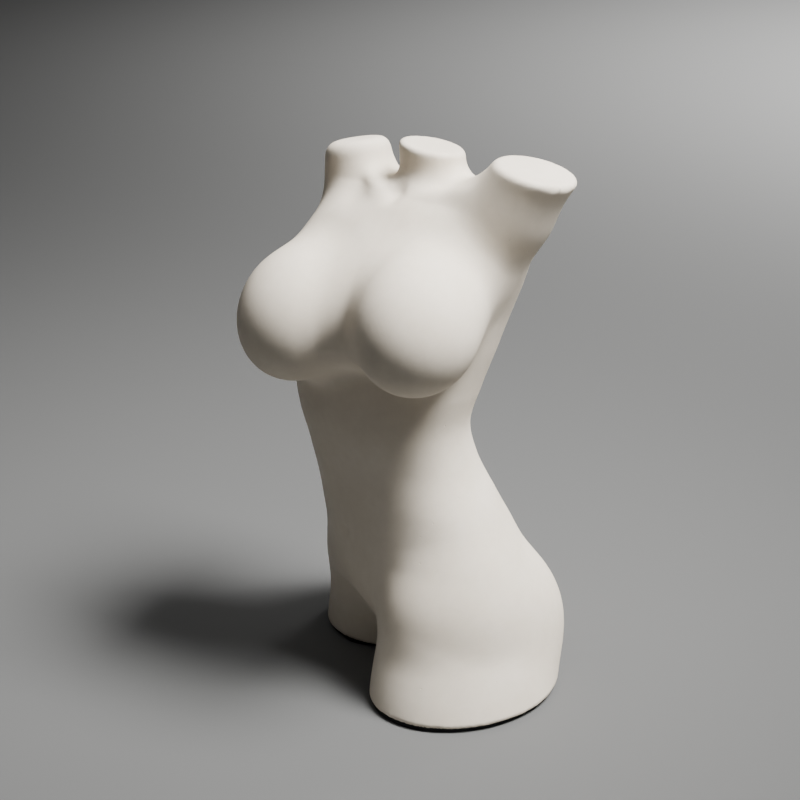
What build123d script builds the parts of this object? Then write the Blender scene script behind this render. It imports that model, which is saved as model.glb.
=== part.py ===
"""Hollow plaster drawing torso: one casting, two thigh plugs and two foot pads.

Millimetres, +Z up.  The hips face -Y and the figure's left side is +X.  The origin lies on
the floor, under the middle of the whole object.  The body is one loft: each level section
is an oval trunk with the thighs and buttocks that reach that level swelling out of it.  The
breasts are rounded masses joined to the loft with fillets, and the neck and arms are stumps
with flat cuts.
"""
import os
from math import cos, radians, sin, sqrt, tan, tau

from build123d import *

os.makedirs("parts", exist_ok=True)

# Driving sizes
PAD = 2.5  # thickness of a foot pad
PAD_INSET = 0.6  # how far a pad's edge stays inside the plaster's
WALL = 7.0  # plaster wall of the hollow casting
PLUG = 8.0  # thickness of the disc poured in place to close a thigh
RIM = 2.0  # rounding of the cut edges of arms and neck
BLEND = 13.0  # width of the soft hollow where two masses meet
CENTRE = (7.0, -21.8)  # middle of the object, measured from between the thighs

# Level sections of the trunk: height, x, y, half width, depth in front, depth behind, yaw
# in degrees and the power of the superellipse
TRUNK = [
    (PAD, 6, -2, 50, 14, 16, -6, 2.0),
    (14, 6, -1, 60, 28, 34, -6, 2.1),
    (30, 6, 0, 72, 43, 46, -5, 2.2),
    (50, 4, -3, 68, 42, 44, -3, 2.3),
    (75, 1, -9, 62, 39, 41, 0, 2.3),
    (100, -2, -17, 55, 36, 37, 5, 2.2),
    (122, -4, -24, 49, 34, 33, 10, 2.2),
    (142, -5, -27, 49, 35, 32, 15, 2.2),
    (162, -5, -25, 52, 37, 33, 19, 2.3),
    (185, -4, -20, 55, 39, 34, 22, 2.4),
    (208, -3, -15, 57, 38, 33, 24, 2.5),
    (226, -2, -11, 56, 35, 31, 24, 2.5),
    (241, -1, -7, 49, 29, 26, 22, 2.4),
    (250, 0, -4, 37, 20, 19, 20, 2.2),
    (254, 0, -3, 26, 13, 13, 18, 2.1),
]
EXTRA_LEVELS = (8, 22, 40, 62)  # more sections where the thighs and buttocks swell out
SECTION_POINTS = 48
EVEN_STEPS = range(SECTION_POINTS + 1)  # the same on every section, so the loft stays simple

# Thigh sections: height, x, y, half width and half depth
LEFT_THIGH = [(PAD, 47.5, -12, 39.5, 49), (30, 43.5, -8, 36, 45), (58, 39, -6, 30, 39), (80, 34, -8, 14, 18)]
RIGHT_THIGH = [(PAD, -35, 5, 38, 45), (30, -33, 3.5, 35, 42), (58, -31, 0, 29, 36), (80, -26, -4, 14, 18)]

# Buttocks: place, radius across and half height
BUTTOCKS = [((36, 20, 28), 34, 40), ((-26, 26, 28), 33.5, 40)]

# Breasts: distance out from the chest's axis, distance ahead of it, height, splay in
# degrees, radius across and half length, for the full part and for the slope above it
CHEST_AXIS = (-1, -16)
CHEST_YAW = 25.0  # the chest is turned this far towards the figure's left
CHEST_LEAN = 4.0  # the left breast is this much higher than the middle, the right one lower
BREAST = (34, 41, 201, 18, 32, 38)
BREAST_SLOPE = (27, 22, 215, 12, 27, 28)
BREAST_BLEND = 12.0
ROUND_STEP = 0.6  # the wedge's flank passes this share of its height at STEEP_STEP of its width
STEEP_STEP = 0.8
CHEST_BLENDS = ((1, 8.0), (-1, 5.0))  # side and rounding where a breast meets the chest

# The gap between the thighs: place of its foot, half width at the foot, height
GAP = (5.5, -3, 3.5, 17)
GAP_YAW = -6.0
THROUGH = 200.0  # long enough to pass through the object either way

# Cut stumps: round sections as place and radius, from inside the trunk outwards, then the
# middle of the cut, its half width and half depth, and its lean to the left and to the back
NECK = ([((0, -2, 222), 14), ((-1, -1, 248), 18)], (-1, -1.5, 276), 17, 16.5, 5, 9)
LEFT_ARM = ([((18, -8, 196), 14), ((33, 3, 226), 22)], (57, 19, 275), 20.5, 20, 10, 6)
RIGHT_ARM = ([((-30, -20, 190), 12), ((-40, -19, 224), 20)], (-45, -19, 271.5), 17.5, 17.5, -11, 0)


def place(x, y, z):
    """Give a point, taken from between the thighs, in the object's own frame."""
    return (x - CENTRE[0], y - CENTRE[1], z)


def at_level(rows, z):
    """Give the row of a table of sections at a height, by straight steps between its rows."""
    for low, high in zip(rows, rows[1:]):
        if low[0] <= z <= high[0]:
            share = (z - low[0]) / (high[0] - low[0])
            return [a + (b - a) * share for a, b in zip(low, high)]
    return None


def oval_reach(dx, dy, half_width, half_depth, aim):
    """Give the distance from a point to an oval's far side, along an aim, or 0 for a miss."""
    ax, ay = cos(aim) / half_width, sin(aim) / half_depth
    px, py = -dx / half_width, -dy / half_depth
    a, b, c = ax * ax + ay * ay, ax * px + ay * py, px * px + py * py - 1
    return max((sqrt(b * b - a * c) - b) / a, 0) if b * b > a * c else 0


def soft_max(first, second):
    """Give the larger of two reaches, rounded where they are nearly the same."""
    near = max(BLEND - abs(first - second), 0)
    return max(first, second) + near**2 / (4 * BLEND)


def swellings(z, inset):
    """Give the ovals of the thighs and buttocks that reach a level: x, y, half width, half depth."""
    ovals = []
    for rows in (LEFT_THIGH, RIGHT_THIGH):
        if z < rows[-1][0]:
            x, y, half_width, half_depth = at_level(rows, z)[1:]
            ovals.append((x, y, half_width - inset, half_depth - inset))
    for (x, y, middle), radius, half_height in BUTTOCKS:
        share = (z - middle) / (half_height - inset)
        if abs(share) < 1:
            width = (radius - inset) * sqrt(1 - share**2)
            ovals.append((x, y, width, width))
    return ovals


def outline(z, inset):
    """Give the middle of a level section and the points round it."""
    x, y, half_width, front, back, yaw, power = at_level(TRUNK, z)[1:]
    points = []
    for step in range(SECTION_POINTS):
        turn = tau * step / SECTION_POINTS
        aim = turn + radians(yaw)
        depth = (back if sin(turn) > 0 else front) - inset
        width = half_width - inset
        reach = ((abs(cos(turn)) / width) ** power + (abs(sin(turn)) / depth) ** power) ** (-1 / power)
        for oval_x, oval_y, oval_width, oval_depth in swellings(z, inset):
            far_side = oval_reach(oval_x - x, oval_y - y, oval_width, oval_depth, aim)
            reach = soft_max(reach, far_side)
        points.append((reach * cos(aim), reach * sin(aim)))
    return (x, y), points


def breast(side, inset=0.0):
    """Make the left (1) or right (-1) breast with the slope above it."""
    yaw = radians(CHEST_YAW)
    with BuildPart() as solid:
        for out, ahead, height, splay, radius, length in (BREAST, BREAST_SLOPE):
            x = CHEST_AXIS[0] + side * out * cos(yaw) + ahead * sin(yaw)
            y = CHEST_AXIS[1] + side * out * sin(yaw) - ahead * cos(yaw)
            aim = (sin(yaw + side * radians(splay)), -cos(yaw + side * radians(splay)), 0)
            middle = Vector(*place(x, y, height + side * CHEST_LEAN))
            with BuildSketch(Plane(middle, x_dir=aim, z_dir=(0, 0, 1))):
                Ellipse(length - inset, radius - inset)
                Rectangle(2 * length, radius, align=(Align.CENTER, Align.MAX), mode=Mode.SUBTRACT)
            revolve(axis=Axis(middle, aim))
        fillet(solid.edges(Select.NEW), BREAST_BLEND)
    return solid.part


def gap(inset):
    """Make the wedge of air between the thighs, wider and taller by the inset."""
    x, y, half_width, height = GAP
    foot = half_width + inset
    crest = height + inset
    across = (cos(radians(GAP_YAW)), sin(radians(GAP_YAW)), 0)
    along = (-across[1], across[0], 0)
    with BuildPart() as wedge:
        with BuildSketch(Plane(place(x, y, 0), x_dir=across, z_dir=along)):
            with BuildLine():
                shoulder, flank = STEEP_STEP * foot, -ROUND_STEP * crest
                Spline((-foot, 1), (-shoulder, flank), (0, -crest), (shoulder, flank), (foot, 1))
                Line((foot, 1), (-foot, 1))
            make_face()
        extrude(amount=THROUGH, both=True)
    return wedge.part


def body(inset=0.0):
    """Loft the trunk, thighs and buttocks together, drawn smaller by the inset."""
    levels = sorted([row[0] for row in TRUNK] + list(EXTRA_LEVELS))
    top = levels[-1] - inset
    with BuildPart() as solid:
        for z in [level for level in levels if level < top - 1] + [top]:
            middle, points = outline(z, inset)
            with BuildSketch(Plane(place(*middle, z))):
                with BuildLine():
                    add(Edge.make_spline(points, periodic=True, parameters=EVEN_STEPS))
                make_face()
        loft()
        add(gap(inset), mode=Mode.SUBTRACT)
    return solid.part


def stump(sections, cut, half_width, half_depth, lean_left, lean_back):
    """Loft a neck or an arm from inside the trunk to its flat cut and round the cut's rim."""
    normal = (tan(radians(lean_left)), tan(radians(lean_back)), 1)
    along = Vector(*cut) - Vector(*sections[0][0])
    with BuildPart() as solid:
        for middle, radius in sections:
            with BuildSketch(Plane(place(*middle), x_dir=(along.Z, 0, -along.X), z_dir=along)):
                Circle(radius)
        with BuildSketch(Plane(place(*cut), x_dir=(1, 0, -normal[0]), z_dir=normal)):
            Ellipse(half_width, half_depth)
        loft()
        fillet(solid.faces().sort_by(Axis.Z)[-1].edges(), RIM)
    return solid.part


def hollow(inset):
    """Join everything inside a surface that runs the inset below the plaster's own."""
    with BuildPart() as solid:
        add(body(inset))
        add(breast(1, inset))
        add(breast(-1, inset))
    return solid.part


with BuildPart() as torso_shell:
    add(body())
    for side, blend in CHEST_BLENDS:
        add(breast(side))
        fillet(torso_shell.edges(Select.NEW), blend)
    for limb in (NECK, LEFT_ARM, RIGHT_ARM):
        add(stump(*limb))
    add(hollow(WALL), mode=Mode.SUBTRACT)
torso_shell.part.label = "torso_shell"
export_step(torso_shell.part, "parts/torso_shell.step")

with BuildPart() as plugs:
    add(body(WALL))
    split(bisect_by=Plane.XY.offset(PAD + PLUG), keep=Keep.BOTTOM)
for name, plug in zip(("right_thigh_plug", "left_thigh_plug"), plugs.solids().sort_by(Axis.X)):
    plug.label = name
    export_step(plug, f"parts/{name}.step")

with BuildPart() as pads:
    soles = body(PAD_INSET).faces().filter_by(Plane.XY).sort_by(Axis.Z)[:2]
    extrude(soles, amount=PAD, dir=(0, 0, -1))
for name, pad in zip(("right_foot_pad", "left_foot_pad"), pads.solids().sort_by(Axis.X)):
    pad.label = name
    export_step(pad, f"parts/{name}.step")
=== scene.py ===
"""A cast plaster torso for drawing lessons, on foam foot pads, in a plain studio.

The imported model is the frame.  Its thigh plugs and foot pads stay as they are and get their
finishes here.  Its plain shell is replaced by a sculpted one: rough lumps are joined into a
block, and the block's skin is then drawn on to a smooth surface, the way a modeller works
clay down to the form, before the creases and hollows are pressed in.

Sizes are in millimetres, measured from the point on the floor between the thighs, and are
turned to metres only where a mesh is made.
"""

import logging
from dataclasses import dataclass, field
from enum import Enum
from math import cos, radians, sin, tau

import bmesh
import bpy
import numpy as np
from mathutils import Matrix, Vector


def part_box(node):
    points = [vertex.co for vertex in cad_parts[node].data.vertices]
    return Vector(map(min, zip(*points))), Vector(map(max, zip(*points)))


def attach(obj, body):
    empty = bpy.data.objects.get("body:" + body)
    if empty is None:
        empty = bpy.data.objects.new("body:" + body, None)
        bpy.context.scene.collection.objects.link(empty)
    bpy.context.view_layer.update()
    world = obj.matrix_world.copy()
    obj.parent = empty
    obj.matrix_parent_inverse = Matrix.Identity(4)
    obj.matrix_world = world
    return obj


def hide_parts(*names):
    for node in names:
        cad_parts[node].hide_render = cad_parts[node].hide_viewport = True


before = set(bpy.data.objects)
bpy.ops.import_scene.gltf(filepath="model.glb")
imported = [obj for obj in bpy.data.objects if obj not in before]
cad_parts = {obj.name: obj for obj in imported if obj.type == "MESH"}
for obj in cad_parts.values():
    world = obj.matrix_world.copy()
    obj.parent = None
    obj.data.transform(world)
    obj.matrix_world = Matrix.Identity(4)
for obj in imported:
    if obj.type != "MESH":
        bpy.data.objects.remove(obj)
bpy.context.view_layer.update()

log = logging.getLogger("torso")

MM = 0.001
HIP_POINT = np.array([-7.0, 21.8, 0.0])  # the point between the thighs, in the frame
RING_SEGMENTS = 32  # sides of a rough ring or cylinder in the block
BALL_DIVISIONS = 3  # how finely a rough ball in the block is divided
PROBE = 0.25  # half the step over which a form's slope is felt
LEAST_SLOPE = 0.15  # flatter slopes than this count as this, so that no point runs away
LONGEST_MOVE = 6.0  # the most that one round may move a point
FAR_OFF = 1e3  # farther than any point is from the clay
TRAIL_STEPS = 12  # points from one place of a stroke to the next
TRAIL_ROUNDS = 12  # how many times a stroke's line is smoothed
LAY_ROUNDS = 8  # how many times a stroke's line is moved on to the skin
STROKE_REACH = 3.0  # a stroke is felt this many of its widths away
FOOT_ROUND = 1.5  # softening of the edge where the casting meets a foot pad
Triple = tuple[float, float, float]


class Side(Enum):
    """The figure's own sides, with the sign of X on each."""

    LEFT = 1
    RIGHT = -1


class Grain(Enum):
    """Noise patterns that the finishes use, with Blender's node for each."""

    CLOUDS = "ShaderNodeTexNoise"
    CELLS = "ShaderNodeTexVoronoi"


# --------------------------------------------------------------------------- small tools


def turned(yaw: float = 0.0, lean_back: float = 0.0, lean_left: float = 0.0) -> np.ndarray:
    """Make a turn from degrees of yaw, leaning back and leaning to the figure's left.

    Args:
        yaw: turn about the upright axis, positive from the front towards the left.
        lean_back: tilt of the top towards the back.
        lean_left: tilt of the top towards the left.

    Returns:
        A 3 by 3 matrix whose columns are the turned axes.
    """
    upright = Matrix.Rotation(radians(yaw), 3, "Z")
    sideways = Matrix.Rotation(radians(lean_left), 3, "Y")
    backwards = Matrix.Rotation(radians(-lean_back), 3, "X")
    return np.array(upright @ sideways @ backwards)


def soft_union(first: np.ndarray, second: np.ndarray, width: float) -> np.ndarray:
    """Join two surfaces with a soft hollow between them.

    Args:
        first: distances to one surface.
        second: distances to the other.
        width: how near the two must be before they start to blend.

    Returns:
        Distances to the joined surface.
    """
    near = np.maximum(width - np.abs(first - second), 0.0) / width
    return np.minimum(first, second) - near * near * width * 0.25


def soft_cut(first: np.ndarray, second: np.ndarray, width: float) -> np.ndarray:
    """Keep what is inside both surfaces, with a rounded edge of about the width."""
    return -soft_union(-first, -second, width)


def linear(hex_colour: str) -> tuple[float, float, float, float]:
    """Turn an sRGB hex colour such as "#E9E2D6" into linear RGBA."""
    parts = [int(hex_colour[i : i + 2], 16) / 255 for i in (1, 3, 5)]
    shades = [p / 12.92 if p <= 0.04045 else ((p + 0.055) / 1.055) ** 2.4 for p in parts]
    return (shades[0], shades[1], shades[2], 1.0)


def in_metres(points: np.ndarray) -> np.ndarray:
    """Turn millimetres from between the thighs into the frame's metres."""
    return (points + HIP_POINT) * MM


def add_object(name: str, data: bpy.types.ID) -> bpy.types.Object:
    """Put a mesh, a lamp or a lens into the scene."""
    thing = bpy.data.objects.new(name, data)
    bpy.context.scene.collection.objects.link(thing)
    return thing


# --------------------------------------------------------------------------- clay forms


class Form:
    """A lump of clay that knows how far any point is from its skin."""

    def distance(self, points: np.ndarray) -> np.ndarray:
        """Give the distance of each point from the skin, negative inside."""
        raise NotImplementedError

    def block_out(self, bm: bmesh.types.BMesh) -> None:
        """Add a rough lump of this form to the block."""
        raise NotImplementedError


@dataclass(frozen=True)
class Section:
    """One level section of the trunk or a thigh: an oval with its own depth before and behind.

    The yaw is in degrees, and a power above 2 makes the oval squarer.
    """

    height: float
    x: float
    y: float
    half_width: float
    front: float
    back: float
    yaw: float
    power: float


@dataclass
class Column(Form):
    """A trunk that runs smoothly through level sections."""

    sections: list[Section]

    def _between(self, heights: np.ndarray, name: str) -> np.ndarray:
        """Give one size of the sections at any height, by a smooth curve through them."""
        levels = np.array([s.height for s in self.sections])
        sizes = np.array([getattr(s, name) for s in self.sections])
        slopes = np.gradient(sizes, levels)
        low = np.clip(np.searchsorted(levels, heights) - 1, 0, len(levels) - 2)
        gap = levels[low + 1] - levels[low]
        t = np.clip((heights - levels[low]) / gap, 0.0, 1.0)
        ease = t * t * (3.0 - 2.0 * t)
        rise = (t * t * t - 2.0 * t * t + t) * gap * slopes[low]
        fall = (t * t * t - t * t) * gap * slopes[low + 1]
        return (1.0 - ease) * sizes[low] + ease * sizes[low + 1] + rise + fall

    def distance(self, points: np.ndarray) -> np.ndarray:
        """Give the level distance of each point from the column's side."""
        z = points[:, 2]
        yaw = np.radians(self._between(z, "yaw"))
        dx = points[:, 0] - self._between(z, "x")
        dy = points[:, 1] - self._between(z, "y")
        across = dx * np.cos(yaw) + dy * np.sin(yaw)
        along = dy * np.cos(yaw) - dx * np.sin(yaw)
        width = self._between(z, "half_width")
        depth = np.where(along < 0, self._between(z, "front"), self._between(z, "back"))
        power = self._between(z, "power")
        share = (np.abs(across / width) ** power + np.abs(along / depth) ** power) ** (1 / power)
        reach = np.hypot(across, along)
        side = reach - reach / np.maximum(share, 1e-6)
        return np.where(share < 1e-3, -np.minimum(width, depth), side)

    def block_out(self, bm: bmesh.types.BMesh) -> None:
        """Bridge one ring for each section and close both ends."""
        rings = []
        for s in self.sections:
            lie = Matrix.Translation(Vector(in_metres(np.array([s.x, s.y, s.height]))))
            lie = lie @ Matrix.Rotation(radians(s.yaw), 4, "Z")
            depth = (s.front + s.back) * 0.5
            lie = lie @ Matrix.Diagonal((s.half_width * MM, depth * MM, 1.0, 1.0))
            ring = bmesh.ops.create_circle(bm, segments=RING_SEGMENTS, radius=1.0, matrix=lie)
            rings.append(list({edge for vert in ring["verts"] for edge in vert.link_edges}))
        for lower, upper in zip(rings, rings[1:]):
            bmesh.ops.bridge_loops(bm, edges=lower + upper)
        bmesh.ops.contextual_create(bm, geom=rings[0])
        bmesh.ops.contextual_create(bm, geom=rings[-1])


@dataclass
class CappedColumn(Form):
    """A column closed above and below by level cuts with rounded edges."""

    column: Column
    top: float
    top_round: float
    bottom: float
    bottom_round: float

    def distance(self, points: np.ndarray) -> np.ndarray:
        """Give the distance of each point from the closed column."""
        skin = soft_cut(self.column.distance(points), points[:, 2] - self.top, self.top_round)
        return soft_cut(skin, self.bottom - points[:, 2], self.bottom_round)

    def block_out(self, bm: bmesh.types.BMesh) -> None:
        """Add the column's rings."""
        self.column.block_out(bm)


@dataclass
class Mass(Form):
    """An egg-shaped mass, such as a breast or a buttock."""

    middle: Triple
    radii: Triple
    yaw: float = 0.0
    lean_back: float = 0.0

    def distance(self, points: np.ndarray) -> np.ndarray:
        """Give the near distance of each point from the egg's skin."""
        local = (points - np.array(self.middle)) @ turned(self.yaw, self.lean_back)
        radii = np.array(self.radii)
        scaled = np.linalg.norm(local / radii, axis=1)
        slope = np.linalg.norm(local / radii**2, axis=1)
        return scaled * (scaled - 1.0) / np.maximum(slope, 1e-9)

    def block_out(self, bm: bmesh.types.BMesh) -> None:
        """Add a turned and stretched ball."""
        lie = Matrix.Translation(Vector(in_metres(np.array(self.middle))))
        lie = lie @ Matrix(turned(self.yaw, self.lean_back).tolist()).to_4x4()
        lie = lie @ Matrix.Diagonal((*(r * MM for r in self.radii), 1.0))
        bmesh.ops.create_icosphere(bm, subdivisions=BALL_DIVISIONS, radius=1.0, matrix=lie)


@dataclass
class Limb(Form):
    """A round tapering limb."""

    root: Triple
    tip: Triple
    root_radius: float
    tip_radius: float

    def distance(self, points: np.ndarray) -> np.ndarray:
        """Give the distance of each point from the limb's side."""
        root, tip = np.array(self.root), np.array(self.tip)
        length = np.linalg.norm(tip - root)
        way = (tip - root) / length
        local = points - root
        share = np.clip((local @ way) / length, 0.0, 1.0)
        off = np.linalg.norm(local - np.outer(share * length, way), axis=1)
        return off - (self.root_radius + (self.tip_radius - self.root_radius) * share)

    def block_out(self, bm: bmesh.types.BMesh) -> None:
        """Add a tapered cylinder from the root to the tip."""
        root, tip = Vector(in_metres(np.array(self.root))), Vector(in_metres(np.array(self.tip)))
        lie = Matrix.Translation((root + tip) * 0.5)
        lie = lie @ (tip - root).to_track_quat("Z", "Y").to_matrix().to_4x4()
        bmesh.ops.create_cone(
            bm,
            cap_ends=True,
            cap_tris=False,
            segments=RING_SEGMENTS,
            radius1=self.root_radius * MM,
            radius2=self.tip_radius * MM,
            depth=(tip - root).length,
            matrix=lie,
        )


@dataclass
class Stump(Form):
    """A neck or an arm that ends in a flat sawn face with a softened rim."""

    limb: Limb
    cut: Triple
    lean_back: float
    lean_left: float
    rim: float = 3.0

    def distance(self, points: np.ndarray) -> np.ndarray:
        """Give the distance of each point from the limb as cut."""
        face = turned(0.0, self.lean_back, self.lean_left)[:, 2]
        above = (points - np.array(self.cut)) @ face
        return soft_cut(self.limb.distance(points), above, self.rim)

    def block_out(self, bm: bmesh.types.BMesh) -> None:
        """Add the limb only as far as its cut."""
        limb = self.limb
        share = (self.cut[2] - limb.root[2]) / (limb.tip[2] - limb.root[2])
        radius = limb.root_radius + (limb.tip_radius - limb.root_radius) * share
        Limb(limb.root, self.cut, limb.root_radius, radius).block_out(bm)


@dataclass
class Stroke:
    """A press or a raise of the modelling tool along a line on the skin.

    The places are given near the skin, and the line is then laid on it.  A negative
    press raises the skin.  The fade is the share of the line over which each end dies away.
    """

    places: list[Triple]
    width: float
    press: float
    fade: float = 0.25
    trail: np.ndarray = field(default_factory=lambda: np.zeros((0, 3)))
    strength: np.ndarray = field(default_factory=lambda: np.zeros(0))

    def lay(self, clay: "Clay") -> None:
        """Run a smooth line through the places and lay it on the clay's skin.

        Args:
            clay: the form that the stroke works on.
        """
        spots = np.array(self.places, float)
        if len(spots) > 1:
            ends = np.arange(len(spots))
            count = TRAIL_STEPS * (len(spots) - 1) + 1
            steps = np.linspace(0.0, len(spots) - 1.0, count)
            line = np.stack([np.interp(steps, ends, spots[:, i]) for i in range(3)], axis=1)
            for _ in range(TRAIL_ROUNDS):
                line[1:-1] = 0.25 * line[:-2] + 0.5 * line[1:-1] + 0.25 * line[2:]
            along = np.linspace(0.0, 1.0, count)
            edge = np.clip(np.minimum(along, 1.0 - along) / self.fade, 0.0, 1.0)
            self.strength = edge * edge * (3.0 - 2.0 * edge)
        else:
            line = spots
            self.strength = np.ones(1)
        self.trail = clay.settle(line, LAY_ROUNDS)

    def depth_at(self, points: np.ndarray) -> np.ndarray:
        """Give how far the stroke presses the skin in at each point, in millimetres."""
        low = self.trail.min(axis=0) - STROKE_REACH * self.width
        high = self.trail.max(axis=0) + STROKE_REACH * self.width
        near = np.flatnonzero(np.all((points > low) & (points < high), axis=1))
        felt = np.zeros(len(near))
        for spot, strength in zip(self.trail, self.strength):
            off = points[near] - spot
            reach = strength * np.exp(-np.einsum("ij,ij->i", off, off) / self.width**2)
            felt = np.maximum(felt, reach)
        depth = np.zeros(len(points))
        depth[near] = felt * self.press
        return depth


@dataclass
class Clay:
    """The whole soft form: blended lumps, flat foot cuts and the strokes pressed into it."""

    lumps: list[tuple[Form, float]]
    foot_level: float
    strokes: list[Stroke] = field(default_factory=list)

    def smooth_distance(self, points: np.ndarray) -> np.ndarray:
        """Give distances from the blended lumps, before any stroke."""
        skin = np.full(len(points), FAR_OFF)
        for form, blend in self.lumps:
            skin = soft_union(skin, form.distance(points), blend)
        return skin

    def distance(self, points: np.ndarray) -> np.ndarray:
        """Give distances from the finished skin, standing on its flat foot cuts."""
        skin = self.smooth_distance(points)
        for stroke in self.strokes:
            skin = skin + stroke.depth_at(points)
        return soft_cut(skin, self.foot_level - points[:, 2], FOOT_ROUND)

    def settle(self, points: np.ndarray, rounds: int) -> np.ndarray:
        """Move points along the slope of the form until they lie on its skin.

        Args:
            points: places in millimetres, one row each.
            rounds: how many times each point is moved.

        Returns:
            The places after the moves.
        """
        settled = points.astype(float).copy()
        for _ in range(rounds):
            slope = np.empty_like(settled)
            for axis in range(3):
                step = np.zeros(3)
                step[axis] = PROBE
                slope[:, axis] = self.distance(settled + step) - self.distance(settled - step)
            slope /= 2.0 * PROBE
            size = np.maximum(np.einsum("ij,ij->i", slope, slope), LEAST_SLOPE)
            move = np.clip(self.distance(settled) / size, -LONGEST_MOVE, LONGEST_MOVE)
            settled -= slope * move[:, None]
        return settled


# --------------------------------------------------------------------------- the figure


@dataclass
class TrunkForm:
    """The trunk from the crotch to the collar bones, twisted from hips to chest."""

    sections: list[Section] = field(
        default_factory=lambda: [
            Section(10, 7, 1, 58, 24, 34, -6, 2.2),
            Section(28, 6, 0, 66, 37, 42, -5, 2.2),
            Section(48, 5, -4, 69, 44, 45, -3, 2.15),
            Section(75, 2, -10, 64, 42, 45, 1, 2.1),
            Section(100, -1, -17, 57, 37, 39, 6, 2.1),
            Section(122, -4, -23, 51, 35, 34, 11, 2.1),
            Section(142, -5, -27, 49, 35, 32, 15, 2.2),
            Section(162, -5, -25, 52, 37, 33, 19, 2.3),
            Section(185, -4, -20, 55, 39, 34, 22, 2.4),
            Section(208, -3, -15, 57, 38, 33, 24, 2.5),
            Section(226, -2, -11, 56, 35, 31, 24, 2.5),
            Section(242, -1, -7, 48, 29, 27, 22, 2.4),
            Section(256, 0, -3, 36, 19, 19, 18, 2.1),
        ]
    )
    crotch: float = 14.0
    crotch_round: float = 16.0
    collar: float = 255.0
    collar_round: float = 12.0
    blend: float = 1.0

    def lumps(self) -> list[tuple[Form, float]]:
        """Give the trunk as one capped column."""
        column = Column(self.sections)
        ends = (self.collar, self.collar_round, self.crotch, self.crotch_round)
        return [(CappedColumn(column, *ends), self.blend)]


@dataclass
class HipForm:
    """The two thighs, cut off level, with the fullness of the hips and the buttocks above."""

    left_thigh: list[Section] = field(
        default_factory=lambda: [
            Section(-8, 49, -12, 42, 51, 51, 0, 2.0),
            Section(3, 47.5, -11, 41, 50.5, 50.5, 0, 2.0),
            Section(30, 43, -8.5, 37, 46, 46, 0, 2.0),
            Section(58, 38, -7, 30, 38, 38, 0, 2.0),
            Section(84, 32, -8, 16, 20, 20, 0, 2.0),
        ]
    )
    right_thigh: list[Section] = field(
        default_factory=lambda: [
            Section(-8, -36, 5.5, 40.5, 48, 48, 0, 2.0),
            Section(3, -35, 5, 39.5, 46.5, 46.5, 0, 2.0),
            Section(30, -32, 2.5, 36, 42.5, 42.5, 0, 2.0),
            Section(58, -28, -1, 28, 35, 35, 0, 2.0),
            Section(84, -24, -4, 15, 18, 18, 0, 2.0),
        ]
    )
    thigh_top: float = 84.0
    thigh_top_round: float = 24.0
    thigh_foot: float = -6.0
    thigh_foot_round: float = 1.0
    left_buttock: Mass = field(default_factory=lambda: Mass((36, 18, 28), (32, 33, 38)))
    right_buttock: Mass = field(default_factory=lambda: Mass((-26, 26, 28), (33, 34, 40)))
    left_hip: Mass = field(default_factory=lambda: Mass((43, -12, 48), (27, 37, 36)))
    right_hip: Mass = field(default_factory=lambda: Mass((-30, -7, 48), (25, 34, 36)))
    thigh_blend: float = 11.0
    hip_blend: float = 14.0
    buttock_blend: float = 16.0

    def lumps(self) -> list[tuple[Form, float]]:
        """Give the thighs, hips and buttocks with the width of each blend."""
        ends = (self.thigh_top, self.thigh_top_round, self.thigh_foot, self.thigh_foot_round)
        return [
            (CappedColumn(Column(self.left_thigh), *ends), self.thigh_blend),
            (CappedColumn(Column(self.right_thigh), *ends), self.thigh_blend),
            (self.left_hip, self.hip_blend),
            (self.right_hip, self.hip_blend),
            (self.left_buttock, self.buttock_blend),
            (self.right_buttock, self.buttock_blend),
        ]


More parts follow.
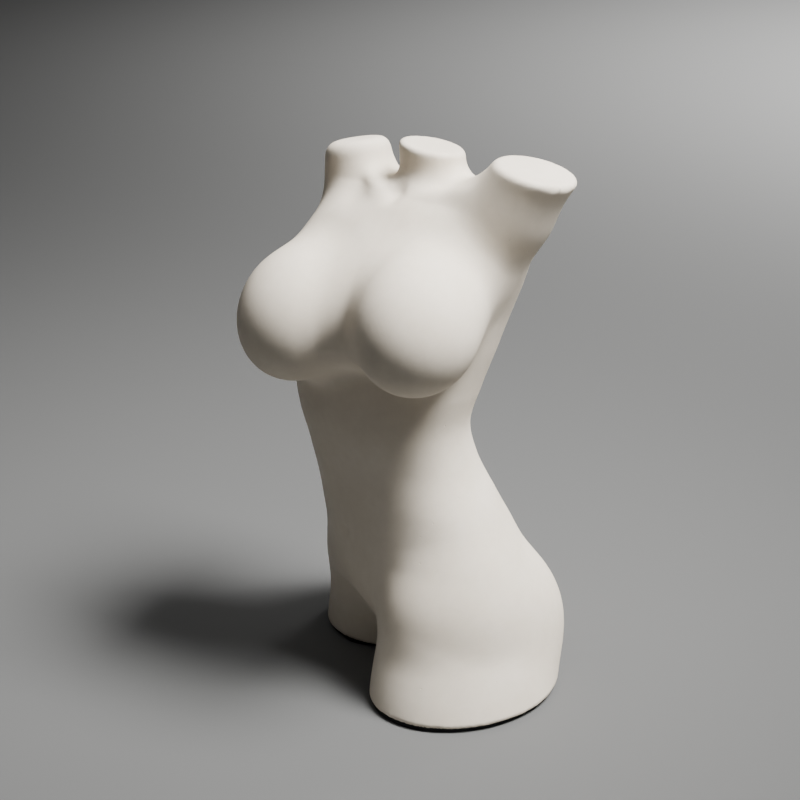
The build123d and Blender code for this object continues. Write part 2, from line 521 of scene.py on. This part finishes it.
@dataclass
class BustForm:
    """The breasts and the broad slope of the chest above them.

    The chest is turned about its axis, and places on it are given as distances out to a side,
    ahead and up from the axis.  The tilt puts the left breast higher and the right one lower.
    The splay, droop and lean are in degrees.  The slopes lead down to the breasts, the plate is
    the flat of the breastbone, and the web fills the valley between the breasts.
    """

    axis: Triple = (0.0, -16.0, 198.0)
    yaw: float = 25.0
    out: float = 34.0
    ahead: float = 43.0
    splay: float = 18.0
    rise: float = 5.0
    droop: float = 38.0
    tilt: float = 4.0
    radii: Triple = (31.0, 30.0, 35.0)
    slope_out: float = 25.0
    slope_ahead: float = 20.0
    slope_rise: float = 20.0
    slope_lean: float = 40.0
    slope_splay: float = 6.0
    slope_radii: Triple = (30.0, 17.0, 32.0)
    plate_ahead: float = 12.0
    plate_rise: float = 30.0
    plate_lean: float = 34.0
    plate_radii: Triple = (45.0, 17.0, 32.0)
    web_ahead: float = 34.0
    web_rise: float = 10.0
    web_radii: Triple = (20.0, 20.0, 30.0)
    blend: float = 14.0
    slope_blend: float = 16.0

    def on_chest(self, out: float, ahead: float, rise: float) -> Triple:
        """Give a place from distances out, ahead and up on the turned chest."""
        shift = turned(self.yaw) @ np.array([out, -ahead, rise])
        return tuple(np.array(self.axis) + shift)

    def lumps(self) -> list[tuple[Form, float]]:
        """Give the plate, each side's slope and breast with the left side first, and the web."""
        forms: list[tuple[Form, float]] = []
        for side in Side:
            sign = side.value
            lean = sign * self.tilt
            full = Mass(
                self.on_chest(sign * self.out, self.ahead, self.rise + lean),
                self.radii,
                self.yaw + sign * self.splay,
                self.droop,
            )
            slope = Mass(
                self.on_chest(sign * self.slope_out, self.slope_ahead, self.slope_rise + lean),
                self.slope_radii,
                self.yaw + sign * self.slope_splay,
                self.slope_lean,
            )
            forms += [(slope, self.slope_blend), (full, self.blend)]
        plate = Mass(
            self.on_chest(0.0, self.plate_ahead, self.plate_rise),
            self.plate_radii,
            self.yaw,
            self.plate_lean,
        )
        web = Mass(
            self.on_chest(0.0, self.web_ahead, self.web_rise),
            self.web_radii,
            self.yaw,
            self.slope_lean,
        )
        return [(plate, self.slope_blend)] + forms + [(web, self.slope_blend)]


@dataclass
class StumpForm:
    """The neck and the two arms, each sawn off flat, and the left shoulder's ridge."""

    neck: Stump = field(
        default_factory=lambda: Stump(
            Limb(root=(-1, -1, 240), tip=(-2, -3, 300), root_radius=16, tip_radius=16),
            cut=(-1, -1.5, 276),
            lean_back=9,
            lean_left=4,
        )
    )
    left_arm: Stump = field(
        default_factory=lambda: Stump(
            Limb(root=(32, 2, 228), tip=(74, 28, 302), root_radius=20.5, tip_radius=18),
            cut=(57, 19, 275.5),
            lean_back=7.5,
            lean_left=9,
        )
    )
    right_arm: Stump = field(
        default_factory=lambda: Stump(
            Limb(root=(-42, -18, 222), tip=(-48.5, -21, 318), root_radius=21, tip_radius=11),
            cut=(-45.5, -20, 271),
            lean_back=-2,
            lean_left=-12,
            rim=7.0,
        )
    )
    shoulder: Limb = field(default_factory=lambda: Limb((4, 4, 250), (50, 12, 250), 12, 12))
    shoulder_blend: float = 12.0
    left_arm_blend: float = 17.0
    right_arm_blend: float = 14.0
    neck_blend: float = 9.0

    def lumps(self) -> list[tuple[Form, float]]:
        """Give the left shoulder, the arms and the neck, with the width of each blend."""
        return [
            (self.shoulder, self.shoulder_blend),
            (self.left_arm, self.left_arm_blend),
            (self.right_arm, self.right_arm_blend),
            (self.neck, self.neck_blend),
        ]


def belly_strokes() -> list[Stroke]:
    """Press in the navel, the folds of the groin and the line above the navel."""
    navel = [(-2, -46, 81)]
    right_groin = [(-40, -39, 46), (-28, -42, 40), (-8, -44, 36), (4, -44, 32)]
    left_groin = [(4, -44, 32), (14, -46, 40), (24, -48, 47)]
    midline = [(-3, -50, 84), (-4, -52, 110), (-6, -58, 140)]
    return [
        Stroke(navel, width=3.0, press=2.4),
        Stroke(right_groin, width=4.0, press=1.3),
        Stroke(left_groin, width=4.5, press=1.0, fade=0.45),
        Stroke(midline, width=8.0, press=0.8, fade=0.4),
    ]


def chest_strokes() -> list[Stroke]:
    """Raise the collar bones, and press in the notch between them and the hollow below."""
    right_bone = [(-26, -24, 262), (-18, -26, 257), (-9, -28, 253), (-2, -29, 250)]
    notch = [(1, -20, 257), (3, -24, 253), (5, -28, 248)]
    right_hollow = [(-24, -30, 246), (-18, -32, 244), (-12, -34, 242)]
    left_bone = [(9, -22, 254), (20, -14, 256), (32, -7, 260), (44, -4, 265)]
    return [
        Stroke(right_bone, width=4.5, press=-2.4, fade=0.4),
        Stroke(notch, width=4.0, press=2.4, fade=0.5),
        Stroke(right_hollow, width=7.0, press=1.2, fade=0.5),
        Stroke(left_bone, width=5.0, press=-1.2, fade=0.4),
    ]


def back_strokes() -> list[Stroke]:
    """Press in the cleft, spine, buttock folds and dimples, and raise the shoulder blades."""
    cleft = [(6, 44, 52), (6, 46, 34), (6, 42, 14)]
    spine = [(4, 30, 60), (0, 20, 90), (-4, 6, 120), (-4, 4, 160), (-6, 8, 200), (-6, 12, 230)]
    left_fold = [(14, 50, 7), (30, 50, 6), (46, 42, 9), (58, 30, 14)]
    right_fold = [(-4, 52, 7), (-20, 56, 6), (-36, 50, 9), (-48, 38, 14)]
    left_dimple = [(14, 26, 74)]
    right_dimple = [(-10, 28, 74)]
    left_blade = [(22, 16, 240), (20, 18, 222), (26, 16, 206), (38, 12, 196)]
    right_blade = [(-28, 6, 240), (-26, 10, 222), (-32, 8, 206), (-42, 0, 196)]
    folds = [Stroke(line, width=6.0, press=1.2, fade=0.45) for line in (left_fold, right_fold)]
    dimples = [Stroke(place, width=5.0, press=1.0) for place in (left_dimple, right_dimple)]
    blades = [Stroke(line, width=8.0, press=-1.4, fade=0.45) for line in (left_blade, right_blade)]
    return [
        Stroke(cleft, width=5.0, press=6.0, fade=0.35),
        Stroke(spine, width=8.0, press=2.6, fade=0.2),
        *folds,
        *dimples,
        *blades,
    ]


@dataclass
class PlasterTorso:
    """The one plaster casting, stood on its two thighs."""

    name: str = "torso_cast"
    coarse: float = 2.6  # length of the first skin's edges
    fine: float = 1.4  # length of the last skin's edges
    first_rounds: int = 8
    last_rounds: int = 4
    trunk: TrunkForm = field(default_factory=TrunkForm)
    hips: HipForm = field(default_factory=HipForm)
    bust: BustForm = field(default_factory=BustForm)
    stumps: StumpForm = field(default_factory=StumpForm)

    def clay(self) -> Clay:
        """Put the lumps together in the order in which they blend, and lay the strokes."""
        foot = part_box("left_foot_pad")[1][2] / MM
        lumps = self.trunk.lumps() + self.hips.lumps() + self.bust.lumps() + self.stumps.lumps()
        clay = Clay(lumps, foot)
        strokes = belly_strokes() + chest_strokes() + back_strokes()
        for stroke in strokes:
            stroke.lay(clay)
        clay.strokes = strokes
        return clay

    def block(self, clay: Clay) -> bpy.types.Object:
        """Join a rough lump of each form into one block."""
        bm = bmesh.new()
        for form, _ in clay.lumps:
            form.block_out(bm)
        mesh = bpy.data.meshes.new(self.name)
        bm.to_mesh(mesh)
        bm.free()
        return add_object(self.name, mesh)

    def reskin(self, piece: bpy.types.Object, voxel: float) -> None:
        """Give a piece one even closed skin in place of its overlapping lumps.

        Args:
            piece: the object whose mesh is made again.
            voxel: length of the new skin's edges, in millimetres.
        """
        remesh = piece.modifiers.new("skin", "REMESH")
        remesh.mode = "VOXEL"
        remesh.voxel_size = voxel * MM
        graph = bpy.context.evaluated_depsgraph_get()
        skin = bpy.data.meshes.new_from_object(piece.evaluated_get(graph))
        piece.modifiers.remove(remesh)
        old = piece.data
        piece.data = skin
        bpy.data.meshes.remove(old)

    def draw_in(self, piece: bpy.types.Object, clay: Clay, rounds: int) -> None:
        """Draw a piece's skin on to the clay's surface."""
        flat = np.empty(len(piece.data.vertices) * 3)
        piece.data.vertices.foreach_get("co", flat)
        points = flat.reshape(-1, 3) / MM - HIP_POINT
        settled = in_metres(clay.settle(points, rounds))
        piece.data.vertices.foreach_set("co", settled.ravel())
        piece.data.update()

    def build(self) -> bpy.types.Object:
        """Sculpt the casting.

        Returns:
            The finished piece, smooth shaded.
        """
        clay = self.clay()
        piece = self.block(clay)
        self.reskin(piece, self.coarse)
        self.draw_in(piece, clay, self.first_rounds)
        self.reskin(piece, self.fine)
        self.draw_in(piece, clay, self.last_rounds)
        piece.data.polygons.foreach_set("use_smooth", [True] * len(piece.data.polygons))
        piece.data.name = self.name
        return piece


# --------------------------------------------------------------------------- finishes


def add_node(
    tree: bpy.types.NodeTree,
    kind: str,
    links: dict[str, bpy.types.NodeSocket] | None = None,
    inputs: dict[str, object] | None = None,
    **settings: object,
) -> bpy.types.Node:
    """Add a node with its settings, values and links.

    Args:
        tree: the material's node tree.
        kind: the node's type.
        links: input name to the output that feeds it.
        inputs: input name to its fixed value.
        **settings: properties of the node itself.

    Returns:
        The new node.
    """
    node = tree.nodes.new(kind)
    for name, value in settings.items():
        setattr(node, name, value)
    for name, value in (inputs or {}).items():
        node.inputs[name].default_value = value
    for name, output in (links or {}).items():
        tree.links.new(output, node.inputs[name])
    return node


def new_tree(name: str) -> tuple[bpy.types.Material, bpy.types.NodeTree]:
    """Make an empty node material."""
    material = bpy.data.materials.new(name)
    material.use_nodes = True
    material.node_tree.nodes.clear()
    return material, material.node_tree


@dataclass(frozen=True)
class CastPlaster:
    """Gypsum plaster poured in a rubber mould and rubbed down: chalky, warm white, dry.

    Its surface scatters light evenly, with faint clouds where the plaster set unevenly, a few
    pin holes left by air bubbles, and a fine tooth from the rubbing paper.
    """

    name: str = "cast_gypsum_plaster"
    body: str = "#ECE1D0"
    shade: str = "#E0D4C1"
    cloud_mm: float = 38.0
    fleck_mm: float = 5.0
    tooth_mm: float = 0.9
    pin_hole_spacing_mm: float = 9.0
    pin_hole_mm: float = 0.5
    roughness: float = 0.86

    def material(self) -> bpy.types.Material:
        """Build the node material."""
        material, tree = new_tree(self.name)
        place = add_node(tree, "ShaderNodeTexCoord").outputs["Object"]
        clouds = add_node(
            tree,
            Grain.CLOUDS.value,
            {"Vector": place},
            {"Scale": 1.0 / (self.cloud_mm * MM), "Detail": 4.0, "Roughness": 0.55},
        )
        flecks = add_node(
            tree,
            Grain.CLOUDS.value,
            {"Vector": place},
            {"Scale": 1.0 / (self.fleck_mm * MM), "Detail": 3.0, "Roughness": 0.6},
        )
        both = add_node(
            tree,
            "ShaderNodeMix",
            {"A": clouds.outputs["Fac"], "B": flecks.outputs["Fac"]},
            {"Factor": 0.3},
            data_type="FLOAT",
        )
        tint = add_node(tree, "ShaderNodeValToRGB", {"Fac": both.outputs["Result"]})
        tint.color_ramp.elements[0].position = 0.3
        tint.color_ramp.elements[0].color = linear(self.shade)
        tint.color_ramp.elements[1].position = 0.7
        tint.color_ramp.elements[1].color = linear(self.body)
        tooth = add_node(
            tree,
            Grain.CLOUDS.value,
            {"Vector": place},
            {"Scale": 1.0 / (self.tooth_mm * MM), "Detail": 2.0},
        )
        cells = add_node(
            tree,
            Grain.CELLS.value,
            {"Vector": place},
            {"Scale": 1.0 / (self.pin_hole_spacing_mm * MM)},
        )
        hole = add_node(
            tree,
            "ShaderNodeMapRange",
            {"Value": cells.outputs["Distance"]},
            {"From Min": 0.0, "From Max": self.pin_hole_mm / self.pin_hole_spacing_mm},
            interpolation_type="SMOOTHSTEP",
        )
        fine = add_node(
            tree,
            "ShaderNodeBump",
            {"Height": tooth.outputs["Fac"]},
            {"Strength": 0.25, "Distance": 0.05 * MM},
        )
        pitted = add_node(
            tree,
            "ShaderNodeBump",
            {"Height": hole.outputs["Result"], "Normal": fine.outputs["Normal"]},
            {"Strength": 0.7, "Distance": 0.3 * MM},
        )
        surface = add_node(
            tree,
            "ShaderNodeBsdfPrincipled",
            {"Base Color": tint.outputs["Color"], "Normal": pitted.outputs["Normal"]},
            {"Roughness": self.roughness, "IOR": 1.52, "Specular IOR Level": 0.3},
        )
        add_node(tree, "ShaderNodeOutputMaterial", {"Surface": surface.outputs["BSDF"]})
        return material


@dataclass(frozen=True)
class FoamSheet:
    """Closed-cell EVA foam sheet, cut to shape: black, soft and slightly open on its edge."""

    name: str = "black_eva_foam"
    body: str = "#0B0B0C"
    worn: str = "#1A1A1B"
    cell_mm: float = 0.6
    roughness: float = 0.9

    def material(self) -> bpy.types.Material:
        """Build the node material."""
        material, tree = new_tree(self.name)
        place = add_node(tree, "ShaderNodeTexCoord").outputs["Object"]
        cells = add_node(
            tree, Grain.CELLS.value, {"Vector": place}, {"Scale": 1.0 / (self.cell_mm * MM)}
        )
        tint = add_node(tree, "ShaderNodeValToRGB", {"Fac": cells.outputs["Distance"]})
        tint.color_ramp.elements[0].color = linear(self.body)
        tint.color_ramp.elements[1].color = linear(self.worn)
        bump = add_node(
            tree,
            "ShaderNodeBump",
            {"Height": cells.outputs["Distance"]},
            {"Strength": 0.4, "Distance": 0.2 * MM},
        )
        surface = add_node(
            tree,
            "ShaderNodeBsdfPrincipled",
            {"Base Color": tint.outputs["Color"], "Normal": bump.outputs["Normal"]},
            {"Roughness": self.roughness, "IOR": 1.48},
        )
        add_node(tree, "ShaderNodeOutputMaterial", {"Surface": surface.outputs["BSDF"]})
        return material


@dataclass(frozen=True)
class StudioPaper:
    """Matt grey background paper, even and without gloss, which the lights make pale."""

    name: str = "pale_background_paper"
    body: str = "#5F5F5E"
    fibre_mm: float = 1.5

    def material(self) -> bpy.types.Material:
        """Build the node material."""
        material, tree = new_tree(self.name)
        place = add_node(tree, "ShaderNodeTexCoord").outputs["Object"]
        fibres = add_node(
            tree, Grain.CLOUDS.value, {"Vector": place}, {"Scale": 1.0 / (self.fibre_mm * MM)}
        )
        bump = add_node(
            tree,
            "ShaderNodeBump",
            {"Height": fibres.outputs["Fac"]},
            {"Strength": 0.05, "Distance": 0.1 * MM},
        )
        surface = add_node(
            tree,
            "ShaderNodeBsdfPrincipled",
            {"Normal": bump.outputs["Normal"]},
            {"Base Color": linear(self.body), "Roughness": 0.85},
        )
        add_node(tree, "ShaderNodeOutputMaterial", {"Surface": surface.outputs["BSDF"]})
        return material


def dress(piece: bpy.types.Object, material: bpy.types.Material) -> None:
    """Give every face of a piece one material, in the object's own slots."""
    if not piece.material_slots:
        piece.data.materials.append(material)
    for slot in piece.material_slots:
        slot.link = "OBJECT"
        slot.material = material


# --------------------------------------------------------------------------- studio


def bearing(azimuth: float, elevation: float) -> Vector:
    """Give the direction from the object at an azimuth and an elevation in degrees."""
    a, e = radians(azimuth), radians(elevation)
    return Vector((sin(a) * cos(e), -cos(a) * cos(e), sin(e)))


@dataclass(frozen=True)
class SoftBox:
    """A square soft box, whose honeycomb grid narrows its light to the spread in degrees."""

    name: str
    azimuth: float
    elevation: float
    distance: float
    side: float
    watts: float
    spread: float
    aim: Triple = (-10.0, 5.0, 150.0)

    def hang(self) -> None:
        """Hang the soft box so that it looks at its aim."""
        lamp = bpy.data.lights.new(self.name, "AREA")
        lamp.size = self.side * MM
        lamp.energy = self.watts
        lamp.spread = radians(self.spread)
        holder = add_object(self.name, lamp)
        way = bearing(self.azimuth, self.elevation)
        holder.location = Vector(self.aim) * MM + way * (self.distance * MM)
        holder.rotation_mode = "QUATERNION"
        holder.rotation_quaternion = (-way).to_track_quat("-Z", "Y")


@dataclass
class Studio:
    """A sweep of paper, a steep key light, two wider lights and the camera."""

    target: Triple = (-16.0, 5.8, 142.0)
    azimuth: float = 60.0
    elevation: float = 23.0
    distance: float = 1000.0
    lens: float = 88.2
    sensor: float = 36.0
    sweep_reach: float = 3400.0
    sweep_bend: float = 1300.0
    sweep_height: float = 2200.0
    sweep_sides: int = 72
    sky: str = "#BCC6D0"
    sky_strength: float = 0.015
    lights: tuple[SoftBox, ...] = (
        SoftBox(
            "key",
            azimuth=127.0,
            elevation=62.0,
            distance=1400.0,
            side=560.0,
            watts=7.0,
            spread=50.0,
        ),
        SoftBox(
            "overhead",
            azimuth=60.0,
            elevation=90.0,
            distance=2300.0,
            side=4200.0,
            watts=22.0,
            spread=180.0,
        ),
        SoftBox(
            "background",
            azimuth=150.0,
            elevation=80.0,
            distance=1300.0,
            side=700.0,
            watts=36.0,
            spread=90.0,
            aim=(-700.0, 1300.0, 0.0),
        ),
    )

    def floor(self) -> None:
        """Lay the paper under the object and sweep it up into a wall all round."""
        bends = [radians(degrees) for degrees in range(0, 91, 10)]
        bend = self.sweep_bend
        flat = self.sweep_reach - bend
        line = [(0.0, 0.0)]
        line += [(flat + bend * sin(t), bend * (1.0 - cos(t))) for t in bends]
        line += [(self.sweep_reach, self.sweep_height)]
        bm = bmesh.new()
        verts = [bm.verts.new((out * MM, 0.0, up * MM)) for out, up in line]
        edges = [bm.edges.new(pair) for pair in zip(verts, verts[1:])]
        bmesh.ops.spin(
            bm,
            geom=verts + edges,
            cent=(0, 0, 0),
            axis=(0, 0, 1),
            angle=tau,
            steps=self.sweep_sides,
            use_merge=True,
        )
        bmesh.ops.remove_doubles(bm, verts=bm.verts, dist=MM)
        bmesh.ops.recalc_face_normals(bm, faces=bm.faces)
        bm.faces.ensure_lookup_table()
        if bm.faces[0].normal.z < 0:
            bmesh.ops.reverse_faces(bm, faces=bm.faces)
        mesh = bpy.data.meshes.new("floor")
        bm.to_mesh(mesh)
        bm.free()
        mesh.polygons.foreach_set("use_smooth", [True] * len(mesh.polygons))
        floor = add_object("floor", mesh)
        dress(floor, StudioPaper().material())

    def camera(self) -> None:
        """Stand the camera at the viewing angle."""
        lens = bpy.data.cameras.new("camera")
        lens.lens = self.lens
        lens.sensor_width = self.sensor
        lens.clip_start = 0.01
        holder = add_object("camera", lens)
        aim = Vector(self.target) * MM
        holder.location = aim + bearing(self.azimuth, self.elevation) * (self.distance * MM)
        holder.rotation_mode = "QUATERNION"
        holder.rotation_quaternion = (aim - holder.location).to_track_quat("-Z", "Y")
        bpy.context.scene.camera = holder

    def build(self) -> None:
        """Set the whole studio."""
        self.floor()
        for box in self.lights:
            box.hang()
        world = bpy.data.worlds.new("studio")
        world.use_nodes = True
        background = world.node_tree.nodes["Background"]
        background.inputs["Color"].default_value = linear(self.sky)
        background.inputs["Strength"].default_value = self.sky_strength
        bpy.context.scene.world = world
        self.camera()


def main() -> None:
    """Build and dress the casting, its plugs and pads, and the studio."""
    logging.basicConfig(level=logging.INFO, format="%(name)s: %(message)s")
    plaster = CastPlaster().material()
    foam = FoamSheet().material()

    torso = PlasterTorso().build()
    dress(torso, plaster)
    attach(torso, "root")
    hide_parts("torso_shell")
    log.info("%s: %d faces", torso.name, len(torso.data.polygons))

    for side in Side:
        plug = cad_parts[f"{side.name.lower()}_thigh_plug"]
        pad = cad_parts[f"{side.name.lower()}_foot_pad"]
        dress(plug, plaster)
        dress(pad, foam)
        log.info("%s and %s dressed", plug.name, pad.name)

    Studio().build()
    log.info("sizes written")


if __name__ == "__main__":
    main()
